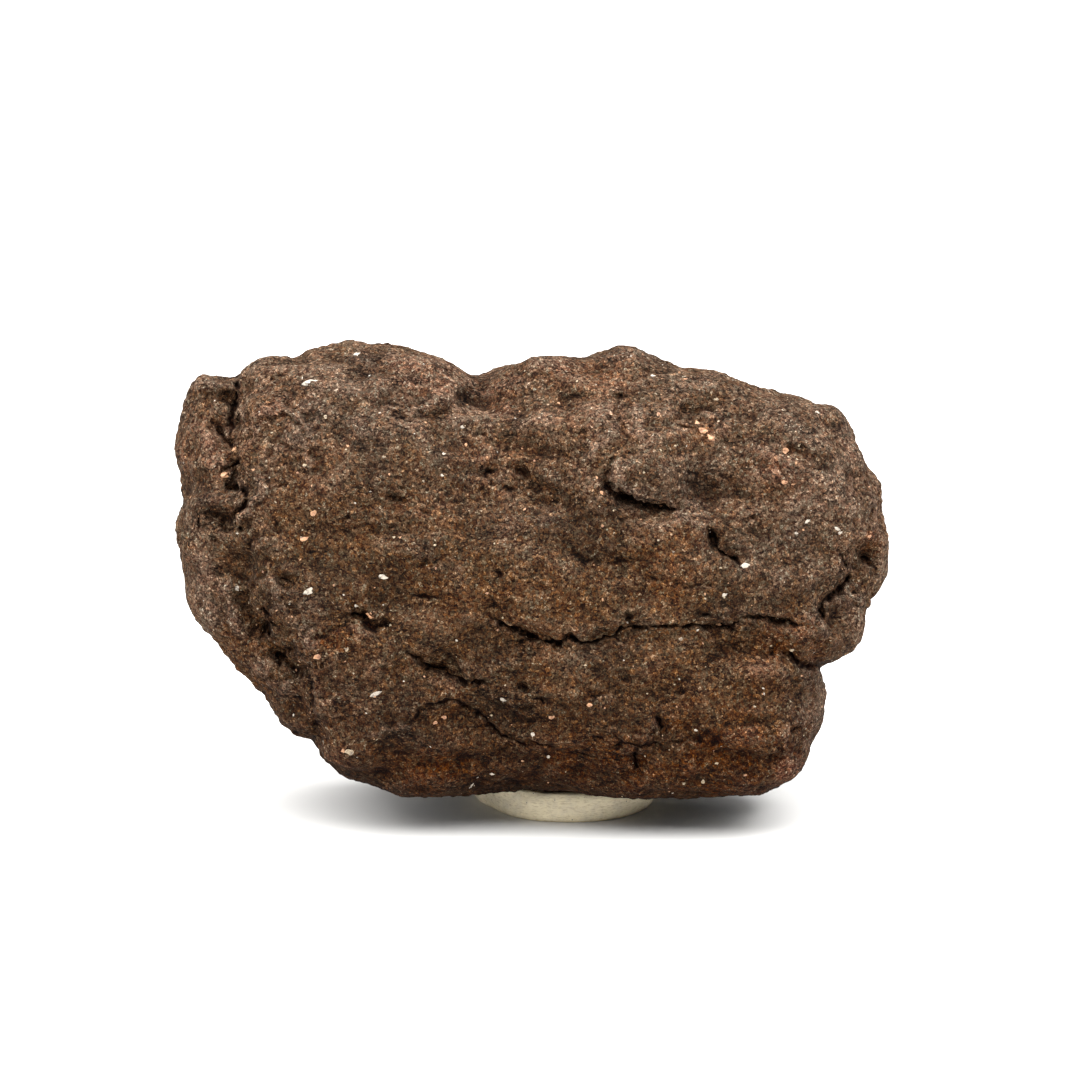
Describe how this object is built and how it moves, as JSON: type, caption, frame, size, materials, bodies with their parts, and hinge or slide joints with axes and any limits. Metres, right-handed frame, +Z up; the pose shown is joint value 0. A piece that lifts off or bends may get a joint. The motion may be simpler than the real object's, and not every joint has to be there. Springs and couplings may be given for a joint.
{
  "type": "chondrite meteorite",
  "caption": "Palm-sized weathered stony meteorite, blocky and fine-grained with cracks, ledges and pits, propped upright on a flat pad of mounting putty.",
  "frame": {"origin": "on the ground under the middle of the box around the stone and its pad", "axes": "+Z up, X along the stone's long side with the flanged end at -X, and -Y out of its best face"},
  "size_m": [0.0668, 0.0336, 0.0453],
  "materials": {
    "weathered_chondrite": "matt, fine-grained weathered chondrite, dark brown with rusty patches and small pale grains",
    "mounting_putty": "soft cream mounting putty, matt with a faint sheen"
  },
  "bodies": {
    "root": {"meteorite": "weathered_chondrite", "putty_pad": "mounting_putty"}
  },
  "joints": []
}
